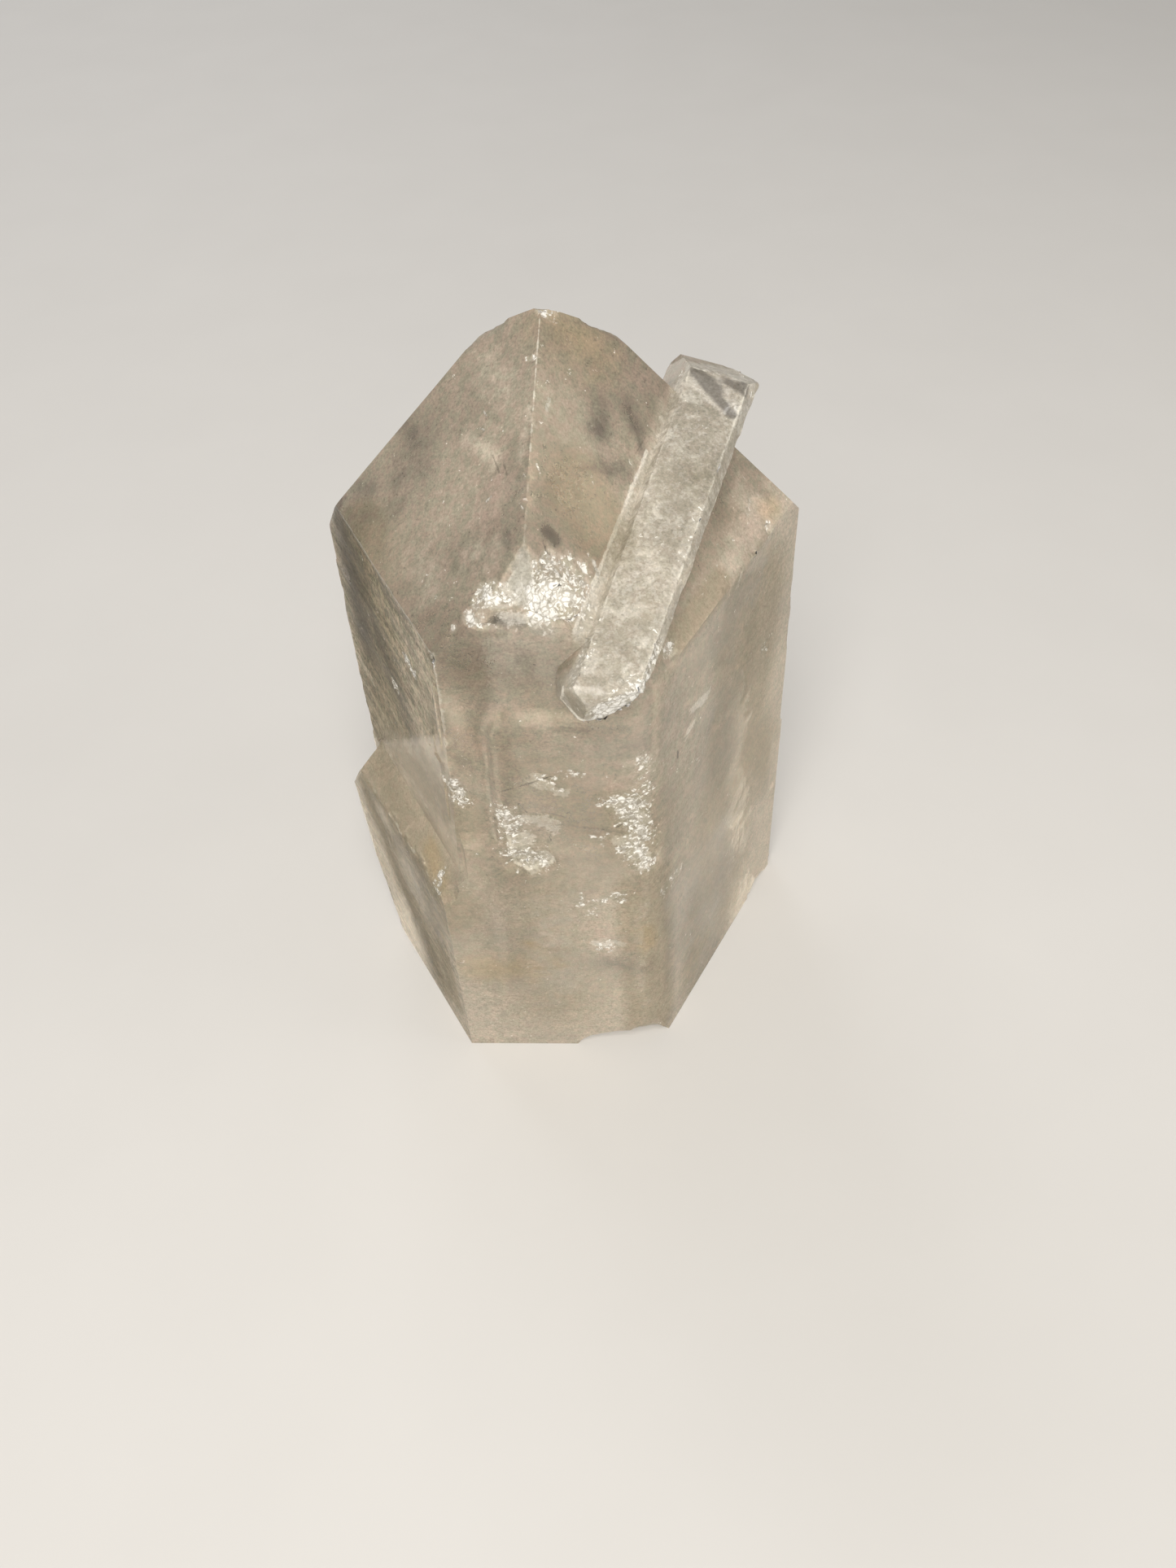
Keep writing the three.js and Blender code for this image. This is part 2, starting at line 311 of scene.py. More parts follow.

# %% [markdown]
# ## Marks on the stone
#
# Knocks left white shattered patches, iron left faint yellow stains, and milky veils drift through.
# Painted shade darkens the places where the stone looks into unlit depth and dims whole faces, and
# a painted glow lightens the right edge. Each mark is a short stroke on the stone: where it starts
# and ends in millimetres, how far it reaches and how strong it is. A field tells every point of the
# skin how deep it lies in the nearest stroke, so that one list guides both the relief of the mesh
# and the colour of the material.

# %% Shattered patches: start, end, reach and strength
SHATTERED = [
    # The great patch under the tip, its left wing, and its scattered crumbs.
    ((-3.0, -25.0, 85.4), (-1.6, -25.6, 83.6), 2.3, 1.8),
    ((-1.0, -24.6, 85.2), (1.2, -25.2, 83.6), 2.2, 1.35),
    ((-1.4, -23.5, 87.2), (0.3, -23.8, 85.2), 1.5, 0.9),
    ((0.8, -22.9, 85.9), (2.4, -23.2, 84.4), 1.6, 0.75),
    ((-3.0, -26.8, 83.8), (1.0, -26.8, 83.2), 0.7, 1.1),
    ((-7.6, -25.6, 85.6), (-5.4, -25.9, 85.9), 1.5, 1.5),
    ((-9.2, -26.3, 83.8), (-8.1, -26.8, 83.8), 1.0, 1.6),
    ((-8.0, -27.0, 83.0), (-5.6, -27.4, 82.6), 0.4, 0.8),
    ((-10.7, -26.3, 82.3), (-9.9, -26.8, 82.8), 0.6, 1.0),
    ((-7.7, -24.1, 85.9), (-7.6, -24.3, 85.9), 0.4, 1.0),
    ((2.2, -21.0, 85.8), (3.0, -21.2, 84.8), 0.8, 0.8),
    ((-3.3, -23.3, 89.0), (-2.2, -23.7, 87.1), 0.5, 0.8),
    # The tip and the ridge.
    ((-0.8, -0.9, 101.3), (-0.3, -0.9, 101.2), 0.8, 1.2),
    ((-1.9, -5.4, 99.2), (-1.8, -5.9, 99.2), 0.6, 1.2),
    ((-2.5, -10.6, 96.6), (-2.4, -11.7, 96.1), 0.4, 1.0),
    # The foot, the long right edge and the far tip of the slim crystal.
    ((2.6, -33.3, 75.7), (4.6, -33.1, 76.2), 1.5, 2.0),
    ((3.6, -33.0, 76.4), (6.6, -33.3, 78.3), 2.3, 2.2),
    ((6.6, -33.3, 78.9), (8.2, -31.8, 79.9), 1.7, 1.5),
    ((8.2, -31.8, 79.8), (9.6, -28.0, 81.2), 1.1, 0.8),
    ((0.4, -31.9, 80.3), (1.3, -29.9, 81.2), 0.9, 0.55),
    ((1.6, -31.4, 81.0), (2.8, -29.8, 81.6), 0.8, 0.5),
    ((4.7, -32.2, 74.9), (7.7, -32.8, 78.4), 1.1, 2.0),
    ((15.0, -12.8, 85.9), (14.1, -15.2, 85.2), 0.7, 0.6),
    ((13.4, -16.2, 85.0), (12.5, -19.4, 84.0), 0.6, 0.5),
    ((7.7, -9.0, 88.0), (8.4, -9.4, 87.2), 0.6, 0.8),
    ((13.4, 5.0, 90.8), (13.0, 4.6, 90.4), 0.7, 0.7),
    ((16.9, 4.2, 91.2), (17.8, 3.9, 91.0), 0.6, 0.8),
    ((21.6, 2.8, 90.2), (21.8, 2.0, 89.6), 0.6, 0.9),
    # The front face, left and right of its middle, and the crumbs between.
    ((-8.0, -28.2, 55.2), (-7.0, -28.0, 50.4), 1.5, 0.62),
    ((-7.1, -28.4, 47.9), (-4.1, -28.0, 45.6), 2.0, 0.58),
    ((-6.9, -27.9, 45.0), (-3.2, -28.2, 45.4), 0.9, 0.8),
    ((-2.6, -28.4, 60.8), (-1.6, -28.4, 59.9), 1.0, 0.55),
    ((0.1, -28.5, 61.9), (1.4, -28.6, 62.1), 0.7, 0.6),
    ((8.0, -28.9, 63.5), (8.7, -28.7, 58.7), 1.5, 0.5),
    ((5.1, -28.4, 57.1), (8.3, -28.9, 56.4), 2.0, 0.85),
    ((6.4, -28.8, 54.9), (8.4, -28.4, 50.0), 2.1, 0.8),
    ((6.4, -28.7, 48.1), (8.9, -29.0, 45.6), 1.9, 0.9),
    ((9.2, -28.7, 51.3), (9.6, -28.2, 49.6), 0.8, 0.6),
    ((1.7, -28.6, 51.3), (2.4, -28.6, 50.6), 0.6, 0.7),
    ((3.0, -28.6, 50.0), (4.5, -28.7, 51.1), 0.5, 0.6),
    ((0.0, -28.8, 38.7), (0.7, -28.8, 37.1), 0.9, 0.6),
    ((1.3, -28.8, 36.9), (2.4, -28.9, 35.2), 0.9, 0.4),
    ((3.4, -28.9, 37.8), (6.1, -29.0, 39.1), 1.0, 0.5),
    ((11.4, -26.7, 36.9), (13.0, -24.0, 36.7), 1.1, 0.5),
    ((2.5, -28.9, 27.5), (4.7, -28.9, 26.1), 1.1, 0.3),
    # The left edges and the left face.
    ((-13.5, -27.1, 59.8), (-12.7, -27.1, 56.4), 1.3, 0.9),
    ((-18.0, -26.1, 37.9), (-16.5, -25.2, 41.1), 0.8, 1.1),
    ((-17.9, -26.4, 37.4), (-17.3, -27.0, 38.6), 0.7, 1.0),
    ((-14.4, -24.9, 77.9), (-14.1, -25.5, 78.0), 0.5, 1.0),
    ((-13.5, -26.5, 78.4), (-13.1, -27.1, 78.9), 0.5, 1.0),
    ((-18.0, -18.2, 71.3), (-16.6, -21.0, 70.9), 0.7, 1.5),
    ((-20.9, -12.9, 62.3), (-20.3, -14.3, 61.9), 0.75, 1.4),
    # The right face and its upper corner.
    ((23.6, -3.2, 75.2), (23.8, -3.7, 75.0), 0.7, 1.0),
    ((25.0, -3.5, 56.8), (25.4, -3.0, 54.6), 0.5, 0.8),
    ((11.4, -22.6, 75.5), (11.0, -23.7, 75.2), 0.7, 0.8),
    # Two old scars behind.
    ((13.4, 32.2, 36.0), (13.4, 32.2, 42.0), 3.4, 0.9),
    ((-11.1, 30.0, 24.0), (-11.1, 30.0, 30.0), 3.8, 0.9),
]
print(len(SHATTERED), "shattered strokes")

# %% Painted shade where the stone looks into unlit depth, and short bright ticks
# Painted shade: these strokes paint the skin nearly black where the stone looks into unlit depth.
PAINTED_DEPTH_SHADE = [
    # On the left tip face.
    ((-16.2, -0.6, 88.8), (-14.7, -4.1, 88.6), 5.2, 0.65),
    ((-22.8, -3.2, 81.9), (-14.2, -7.2, 87.7), 3.8, 0.5),
    ((-21.2, -6.6, 81.8), (-16.6, -9.3, 84.6), 3.2, 0.45),
    ((-5.2, -21.0, 89.5), (-4.9, -22.2, 89.2), 1.2, 0.6),
    # On the right tip face.
    ((4.9, -5.9, 92.8), (4.5, -7.8, 91.8), 2.8, 0.8),
    ((7.5, -3.7, 91.4), (8.4, -4.8, 89.9), 2.5, 0.8),
    ((8.4, -4.8, 89.9), (9.0, -6.4, 88.8), 1.3, 0.7),
    ((2.4, -13.0, 90.7), (7.1, -9.7, 88.2), 2.2, 0.65),
    ((-1.2, -20.6, 89.3), (-0.4, -20.8, 88.6), 1.1, 1.4),
    # In the end of the slim crystal.
    ((15.0, 3.7, 91.4), (18.7, -1.7, 89.2), 0.9, 1.6),
    ((15.4, 3.3, 91.3), (17.4, 1.2, 90.4), 1.3, 1.6),
    ((18.4, 2.7, 90.8), (20.6, 1.2, 90.0), 0.9, 1.5),
    ((20.4, 2.4, 90.5), (21.0, 1.8, 90.2), 0.6, 1.2),
    # On the front face.
    ((-9.9, -27.3, 79.0), (0.0, -27.7, 77.0), 5.5, 0.45),
    ((-6.0, -28.3, 66.5), (7.0, -28.8, 66.5), 4.0, 0.3),
    ((3.6, -28.9, 23.4), (8.5, -29.1, 21.3), 3.0, 0.4),
    ((-6.0, -28.5, 29.8), (-3.6, -28.6, 23.4), 2.8, 0.4),
    ((-6.6, -26.9, 83.7), (-4.0, -27.0, 83.4), 1.0, 1.2),
    ((-12.1, -27.2, 67.6), (-11.3, -27.3, 62.3), 1.8, 0.5),
    # On the left face.
    ((-25.5, -2.8, 77.0), (-25.0, -4.3, 62.0), 8.0, 1.0),
    ((-22.7, -9.0, 69.0), (-19.5, -15.3, 59.0), 6.0, 0.65),
]
TICKS = [
    ((-1.9, -15.5, 93.4), (-1.6, -16.0, 92.8), 0.14, 1.0),
    ((-3.3, -16.6, 93.1), (-2.9, -17.2, 93.2), 0.14, 1.0),
    ((3.5, -13.2, 89.5), (3.8, -13.6, 89.0), 0.10, 0.9),
    ((-7.3, -6.8, 93.9), (-7.0, -7.6, 93.8), 0.10, 0.6),
    ((-7.7, -8.3, 92.9), (-7.3, -8.8, 93.0), 0.10, 0.6),
    ((-3.8, -19.1, 91.6), (-3.4, -19.9, 91.5), 0.13, 0.9),
    ((-7.1, -16.3, 89.9), (-6.4, -16.1, 90.6), 0.12, 0.6),
    ((-0.5, -8.9, 96.3), (-0.8, -10.1, 95.8), 0.20, 0.4),
    ((-2.9, -23.5, 89.2), (-2.6, -24.2, 88.3), 0.16, 0.9),
    ((3.3, -20.3, 85.1), (3.7, -21.1, 84.2), 0.30, 0.7),
    ((21.3, -2.6, 78.6), (21.2, -3.9, 77.9), 0.35, 0.4),
    ((-18.0, -18.2, 71.3), (-16.6, -21.0, 70.9), 0.35, 1.0),
    ((-20.9, -12.9, 62.3), (-20.3, -14.3, 61.9), 0.40, 0.9),
]
print(len(PAINTED_DEPTH_SHADE), "thin places and", len(TICKS), "ticks")

# %% Milky veils, painted glow along the right edge, and pale flakes
VEILS_AND_GLOWS = [
    ((-2.5, -10.5, 96.5), (-3.5, -14.6, 93.8), 1.1, 0.8),
    ((-0.5, -8.9, 96.3), (-1.4, -13.1, 94.5), 0.9, 0.5),
    ((-3.3, -24.2, 88.6), (-3.9, -24.8, 85.6), 2.0, 0.9),
    ((14.0, -20.7, 63.2), (16.4, -17.0, 62.2), 1.0, 0.6),
    ((13.6, -21.6, 60.5), (14.9, -19.6, 61.0), 0.8, 0.6),
    ((1.3, -10.3, 93.5), (-2.0, -17.6, 92.1), 0.8, 0.4),
    ((9.1, -18.7, 84.6), (11.4, -22.2, 83.2), 4.0, 0.6),
    ((3.4, -29.4, 81.5), (5.2, -32.1, 79.0), 3.0, 0.5),
    ((0.0, -31.4, 80.0), (13.4, 3.2, 91.0), 1.7, 0.9),
    ((-9.5, -8.0, 92.0), (-6.0, -12.5, 92.0), 1.6, 0.9),
    ((-7.5, -2.5, 96.5), (-5.0, -6.5, 96.5), 3.6, 0.6),
    ((6.5, -8.0, 91.0), (9.5, -9.0, 88.3), 1.5, 0.8),
    ((-9.0, -20.0, 87.0), (-6.0, -22.0, 87.8), 3.5, 0.6),
    ((-18.0, -14.0, 83.0), (-13.0, -20.0, 83.5), 4.0, 0.5),
    ((-8.0, -28.5, 36.0), (6.0, -28.8, 36.0), 13.0, 0.9),
    ((-5.5, -28.3, 49.5), (-3.0, -28.3, 47.5), 3.0, 0.9),
    ((6.0, -28.6, 57.0), (8.0, -28.6, 47.0), 4.0, 0.8),
    ((-12.3, -27.2, 73.3), (-12.0, -27.2, 69.6), 1.4, 0.7),
    ((-4.9, -28.1, 70.7), (0.3, -28.0, 71.0), 1.6, 0.6),
    ((-25.7, -9.8, 40.2), (-21.9, -15.9, 40.6), 3.5, 0.4),
    ((-21.8, -13.8, 42.2), (-21.2, -15.5, 41.8), 1.0, 0.6),
    # Painted glow along the right edge of the right face.
    ((29.0, 1.6, 60.0), (30.6, 3.0, 8.0), 5.0, 1.5),
    ((9.8, -28.4, 42.0), (11.0, -28.4, 4.0), 3.4, 1.3),
    ((-28.0, -4.0, 36.0), (-20.0, -18.0, 8.0), 8.0, 0.8),
    ((-27.0, -6.0, 42.0), (-18.0, -24.0, 40.0), 8.0, 1.2),
    ((20.7, -3.4, 78.6), (22.7, -3.6, 76.5), 5.0, 0.9),
    ((-24.0, -9.0, 46.0), (-15.0, -25.0, 54.0), 8.0, 1.2),
    ((3.0, -27.0, 83.0), (10.0, -12.0, 87.0), 1.6, 0.6),
    ((-17.5, -27.1, 8.0), (11.0, -28.6, 5.0), 18.0, 1.2),
    ((22.6, -3.0, 77.5), (20.4, -7.4, 77.0), 4.0, 1.3),
    ((12.4, -21.4, 75.6), (19.6, -10.4, 76.0), 3.4, 1.3),
    # Two more strokes of painted glow over the right face towards its edge.
    ((27.3, 0.6, 72.0), (31.0, 3.0, 6.0), 9.0, 1.6),
    ((24.0, -4.0, 62.0), (28.0, 0.0, 14.0), 11.0, 1.3),
]
PALE_FLAKES = [
    # The flat one above the great patch, and the one low on the left of the front face.
    ((-3.4, -24.6, 88.2), (-4.4, -25.4, 86.2), 1.3, 1.2),
    ((-6.3, -28.0, 50.0), (-5.6, -28.0, 45.6), 1.9, 1.2),
    ((-5.4, -28.0, 45.6), (-3.4, -28.2, 46.4), 1.5, 1.2),
    ((-5.6, -28.2, 54.0), (-2.0, -28.3, 52.6), 1.5, 0.8),
    ((-3.4, -28.4, 60.6), (-1.6, -28.4, 59.4), 1.4, 1.0),
    ((5.8, -28.6, 56.4), (7.4, -28.6, 53.0), 2.0, 1.2),
    ((6.6, -28.6, 50.0), (8.2, -28.6, 46.0), 2.0, 1.0),
    ((2.5, -28.9, 27.9), (5.6, -28.9, 27.2), 1.0, 1.2),
    # Below the left wing of the great patch.
    ((-5.2, -26.6, 83.6), (-3.0, -26.2, 83.4), 1.5, 0.8),
    # On the right face.
    ((14.0, -20.7, 63.2), (16.4, -17.0, 62.2), 1.0, 1.0),
    ((13.6, -21.6, 60.5), (14.9, -19.6, 61.0), 0.8, 0.9),
    ((20.6, -8.0, 75.0), (16.0, -15.6, 72.0), 0.9, 0.6),
]
print(len(VEILS_AND_GLOWS), "veils and", len(PALE_FLAKES), "pale flakes")

# %% Painted shade on whole faces, iron stains and pink blushes
# Painted shade: each stroke darkens the skin with a warm grey, most on the left face and the side
# crystal.
PAINTED_SHADE_PLACES = [
    # The grey left half of the slim crystal's foot.
    ((1.2, -33.3, 77.2), (0.8, -32.9, 78.0), 1.7, 2.4),
    # The left face, the shoulder and the side crystal.
    ((-21.0, -12.0, 76.0), (-24.0, -6.0, 44.0), 12.0, 1.0),
    ((-22.5, -9.0, 78.5), (-23.5, -7.0, 72.0), 7.0, 2.8),
    ((-24.0, -10.0, 50.0), (-14.5, -26.0, 54.0), 8.0, 1.5),
    ((-27.0, -8.0, 42.0), (-18.0, -24.0, 36.0), 10.0, 2.0),
    ((-27.0, -9.0, 34.0), (-22.0, -18.0, 8.0), 8.0, 3.2),
    ((-20.5, -22.5, 34.0), (-19.5, -23.5, 8.0), 4.5, 2.0),
    # The right face and the front face.
    ((22.0, -7.0, 64.0), (18.0, -14.0, 6.0), 13.0, 1.8),
    ((19.5, -11.0, 71.0), (22.5, -6.0, 68.0), 5.0, 1.9),
    ((9.0, -28.5, 40.0), (10.5, -28.5, 4.0), 6.0, 1.7),
    ((-9.0, -27.6, 77.0), (2.0, -28.0, 72.0), 8.0, 0.8),
    ((-8.0, -28.4, 66.0), (8.0, -28.8, 50.0), 12.0, 0.9),
    ((-6.0, -28.5, 46.0), (-4.0, -28.5, 12.0), 14.0, 0.75),
    ((14.0, -10.0, 88.0), (20.0, -6.0, 80.0), 5.0, 0.6),
    ((12.4, -21.4, 75.6), (17.6, -13.4, 76.0), 2.6, 1.6),
    ((2.0, -15.0, 90.0), (4.0, -17.0, 87.0), 6.0, 1.5),
    ((24.0, -8.0, 50.0), (28.0, -1.0, 30.0), 8.0, 1.0),
]
STAINS = [
    ((-13.1, -28.2, 21.6), (-7.0, -28.5, 21.6), 5.5, 1.0),
    ((8.9, -29.2, 30.3), (9.5, -29.2, 26.9), 2.4, 1.2),
    ((-18.6, -22.0, 40.6), (-17.2, -25.8, 39.3), 2.8, 1.2),
    ((0.9, -1.3, 99.8), (4.1, -0.9, 96.8), 7.0, 0.8),
    ((-6.1, -28.5, 27.8), (-3.1, -28.6, 22.7), 2.2, 1.0),
    ((23.3, -2.4, 76.7), (24.5, -0.8, 76.2), 2.4, 1.0),
]
BLUSHES = [
    ((-5.8, -14.8, 91.7), (-7.4, -18.1, 88.9), 3.0, 1.0),
    ((8.4, 0.1, 93.2), (10.2, 0.7, 91.8), 2.4, 0.8),
    ((-12.0, -27.2, 68.3), (-9.6, -27.3, 65.7), 2.4, 1.0),
    ((1.7, -28.6, 61.0), (5.3, -28.5, 60.0), 2.6, 0.9),
    ((2.5, -28.9, 31.5), (4.7, -28.9, 26.1), 3.0, 0.8),
    ((24.0, -7.8, 74.0), (26.0, -3.8, 60.0), 4.0, 0.5),
    ((23.4, -2.4, 77.0), (21.0, -6.4, 77.0), 3.0, 0.9),
]
print(len(PAINTED_SHADE_PLACES), "dim places,", len(STAINS), "stains and", len(BLUSHES), "blushes")

# %% From strokes to fields
# Noise in this module starts from the clock unless it is given a seed, and the outline of every
# patch would then change from run to run.
WANDER_SEED = 1
noise.seed_set(WANDER_SEED)


def closeness(points, strokes):
    """How deep each point lies in a stroke: its strength on the line, 0 at its reach."""
    deepest = np.full(len(points), -1.0)
    for start, end, reach, strength in strokes:
        from_start = points - np.array(start)
        line = np.array(end) - np.array(start)
        share = np.clip(from_start @ line / (line @ line), 0.0, 1.0)
        away = np.linalg.norm(from_start - np.outer(share, line), axis=1)
        deepest = np.maximum(deepest, strength * (1.0 - away / reach))
    return deepest


def wander(points, size, amount):
    """The points, each pushed aside by smooth noise, so that an outline drawn on them wanders."""
    pushes = [noise.noise_vector(Vector(point / size)) for point in points]
    return points + amount * np.array(pushes)


def rows_of(collection, name):
    """One property of all the points or faces of a mesh, as rows of three numbers."""
    flat = np.empty(3 * len(collection), np.float32)
    collection.foreach_get(name, flat)
    return flat.reshape(-1, 3).astype(float)


def points_of(piece):
    return rows_of(piece.data.vertices, "co") / MM


deepest = closeness(points_of(stone), SHATTERED).max()
print("the field of shattered places peaks at", round(deepest, 2))

# %% [markdown]
# ## Soft and sharp
#
# Most edges of a crystal are crisp, but where two prism faces grew in turns the edge between them
# is a soft roll, growth steps fade into the face, and the worn rim of the great patch and the
# corners of the tip are rounded. Points there are smoothed many times over, and all others are
# left alone. Shattered patches need the finest points, so their faces are subdivided once more.

# %% Where the stone is soft
SOFT_EDGE = [((8.9, -28.1, 72.0), (11.2, -28.2, 9.0), 6.5, 2.0)]
SOFT_RIM = [
    ((-3.0, -24.5, 88.2), (-4.3, -25.6, 86.4), 1.9, 1.7),
    ((-4.3, -25.6, 86.4), (-4.0, -26.5, 84.9), 1.9, 1.7),
    ((-4.0, -26.5, 84.9), (-2.4, -27.4, 83.4), 1.7, 1.6),
]
SOFT_CORNERS = [
    ((-7.2, 2.2, 98.0), (-7.0, 1.2, 98.0), 3.0, 1.0),
    ((5.4, 2.6, 97.8), (5.2, 1.8, 97.8), 3.0, 1.0),
]
# The smooth shoulder above the lower crystal lies below this sloping plane.
SHOULDER_LEDGE = np.array((-0.337, 0.610, 0.717))
SHOULDER_LEDGE_AT = 36.6
RIGHT_FACE = np.array((0.85, -0.53, 0.03))
RIGHT_FACE_ACROSS = np.array((0.53, 0.85, 0.0))
LEFT_FACE = np.array((-0.895, -0.446, 0.0))
LEFT_FACE_ACROSS = np.array((0.446, -0.895, 0.0))
RIGHT_FACE_AT = 19.0
LEFT_FACE_AT = 22.0
FRONT_FACE_AT = -25.8


def ramp(values, low, high):
    """Rises evenly from 0 at low to 1 at high; falls if high is the smaller."""
    return np.clip((values - low) / (high - low), 0.0, 1.0)


def weigh(piece, name, weights):
    """A vertex group of the piece with these weights."""
    group = piece.vertex_groups.new(name=name)
    for index in np.flatnonzero(weights > 0.01):
        group.add([int(index)], float(weights[index]), "REPLACE")


def soften(piece, name, weights, times):
    """Smooths the weighted points of a piece many times over."""
    weigh(piece, name, weights)
    finish_with(piece, "SMOOTH", vertex_group=name, factor=0.5, iterations=times)


def refine(piece, chosen_points):
    """Subdivides the faces whose points are all chosen."""
    chosen(piece)
    bpy.ops.object.mode_set(mode="EDIT")
    bpy.ops.mesh.select_mode(type="VERT")
    bpy.ops.mesh.select_all(action="DESELECT")
    bpy.ops.object.mode_set(mode="OBJECT")
    piece.data.vertices.foreach_set("select", chosen_points)
    bpy.ops.object.mode_set(mode="EDIT")
    bpy.ops.mesh.select_mode(type="FACE")
    bpy.ops.mesh.subdivide(number_cuts=1)
    bpy.ops.object.mode_set(mode="OBJECT")


print("helpers for softening and refining are ready")

# %% Soften the growth steps and worn edges, then refine the shattered patches
skin = points_of(stone)
height = skin[:, 2]
across = skin @ RIGHT_FACE_ACROSS
on_right = (skin @ RIGHT_FACE > RIGHT_FACE_AT) * ramp(across, -20, -17) * ramp(across, 17, 14)
on_right = on_right * ramp(height, 3, 7) * ramp(height, 72, 68)
on_front = skin[:, 1] < FRONT_FACE_AT
on_front = on_front * ramp(skin[:, 0], -12.0, -10.5) * ramp(skin[:, 0], 13, 11)
on_front = on_front * ramp(height, 3, 7) * ramp(height, 73, 71)
across = skin @ LEFT_FACE_ACROSS
on_left = (skin @ LEFT_FACE > LEFT_FACE_AT) * ramp(across, -8, -5) * ramp(across, 17, 15)
above_ledge = skin @ SHOULDER_LEDGE - SHOULDER_LEDGE_AT
on_left = on_left * ramp(above_ledge, 1, 3) * ramp(height, 77, 75)
soften(stone, "left_steps", on_left, 25)
soften(stone, "right_steps", on_right, 70)
soften(stone, "front_steps", on_front, 5)
soften(stone, "soft_edge", np.clip(closeness(points_of(stone), SOFT_EDGE), 0.0, 1.0), 90)
soften(stone, "soft_rim", np.clip(closeness(points_of(stone), SOFT_RIM), 0.0, 1.0), 14)
soften(stone, "soft_corners", np.clip(closeness(points_of(stone), SOFT_CORNERS), 0.0, 1.0), 25)
refine(stone, closeness(points_of(stone), SHATTERED) > -0.6)
print("skin has", len(stone.data.polygons), "faces")

# %% [markdown]
# ## The slim crystal
#
# It has its own lengthwise axis, and its surface is whiter and rougher than the rest. A point
# belongs to it if it lies near the line from its foot to its tip, and stands clear of the big
# tip face that it lies on or of the front face that its foot hangs over. The low flank on its
# left has grown into the tip face, so that strip of the face is counted in as well.

# %% Which points belong to the slim crystal
SLIM_FOOT = (2.9, -32.6, 77.7)
SLIM_TIP = (17.8, 3.5, 88.8)
SLIM_REACH = 6.2
TIP_FACE = np.array((0.642, -0.415, 0.644))
TIP_FACE_AT = 65.34
FRONT_OVERHANG = -29.5
CLEARANCE = 0.15
SLIM_AXIS = np.array((0.34, 0.906, 0.254))
SLIM_ACROSS = np.array((0.689, -0.056, -0.723))
# The flank reaches this far from the axis at the foot, and a little less with every millimetre.
FLANK_WIDTH = 5.0
FLANK_TAPER = 0.02
FLANK_START = 2
FLANK_END = 40
FACE_TOLERANCE = 0.6

skin = points_of(stone)
facing = rows_of(stone.data.vertex_normals, "vector")
near_slim = closeness(skin, [(SLIM_FOOT, SLIM_TIP, SLIM_REACH, 1.0)]) > 0
stands_clear = (skin @ TIP_FACE > TIP_FACE_AT + CLEARANCE) | (skin[:, 1] < FRONT_OVERHANG)
from_foot = skin - np.array(SLIM_FOOT)
along_slim = from_foot @ SLIM_AXIS
across_slim = from_foot @ SLIM_ACROSS
on_tip_face = np.abs(skin @ TIP_FACE - TIP_FACE_AT) < FACE_TOLERANCE
flank_edge = FLANK_TAPER * along_slim - FLANK_WIDTH
on_flank = on_tip_face & (across_slim < 0) & (across_slim > flank_edge)
on_flank = on_flank & (along_slim > FLANK_START) & (along_slim < FLANK_END)
slim_field = ((near_slim & stands_clear) | on_flank).astype(float)
print(int(slim_field.sum()), "points on the slim crystal")

# %% [markdown]
# ## Relief
#
# Quartz grows fine level striae across its upright faces, strongest on the left one. Breaks are
# lumpy, edges are nicked, and every face is a little uneven. Each of these is a Displace modifier
# with a noise texture, held to its own part of the stone by a vertex group. All of them only cut
# inwards, so the stone never grows past its true size. The foot stays flat.

# %% Striae by face, and worn edges
FOOT_MARGIN = 0.5
# Which way an upright face looks, in degrees from X, and how strong its striae are.
STRIAE_BY_FACE = [
    (-153.5, 1.0),
    (-92.5, 0.15),
    (-32.0, 0.25),
    (28.0, 0.3),
    (88.0, 0.35),
    (148.0, 0.4),
]
SIDE_STRIAE = 0.6
WORN_EDGES = [
    ((-1.7, -6.6, 98.9), (-3.3, -23.5, 89.6), 0.7, 0.6),
    ((0.9, -32.8, 80.6), (14.7, 4.3, 91.7), 0.8, 1.0),
    ((7.2, -33.4, 79.8), (21.0, 2.3, 90.4), 0.8, 1.0),
    ((8.4, -32.0, 79.0), (22.0, 2.8, 88.7), 0.8, 0.8),
    ((14.7, 4.3, 91.7), (21.0, 2.3, 90.4), 0.7, 0.8),
    ((-0.7, -30.9, 76.3), (2.1, -33.0, 74.9), 0.9, 1.0),
    ((2.1, -32.9, 74.8), (4.7, -32.1, 74.8), 0.9, 1.0),
    ((4.7, -32.1, 74.8), (7.9, -32.8, 78.7), 0.9, 1.0),
    ((1.5, -33.2, 75.2), (1.9, -33.9, 78.9), 0.7, 0.9),
    ((0.9, -32.8, 80.6), (5.2, -33.8, 79.9), 0.8, 1.0),
    ((-13.2, -27.2, 79.7), (-13.5, -27.2, 45.0), 0.7, 0.8),
    ((-29.5, -6.0, 38.2), (-17.1, -27.7, 38.4), 0.8, 0.9),
    ((-16.9, -28.0, 37.0), (-16.9, -28.0, 6.0), 0.6, 0.6),
    ((-25.5, -2.5, 79.8), (-13.2, -27.2, 79.7), 0.6, 0.5),
    ((17.1, -15.1, 74.8), (27.3, 1.4, 75.1), 0.6, 0.6),
    ((12.1, 29.7, 74.0), (13.0, 31.7, 8.0), 0.8, 0.8),
]
print(len(WORN_EDGES), "worn edges")

# %% How strong the striae are at every point
SIDE_FACE = np.array((-0.869, -0.495, 0.0))
SIDE_FACE_AT = 28.4
LEFTWARD = np.array((-0.89, -0.45))

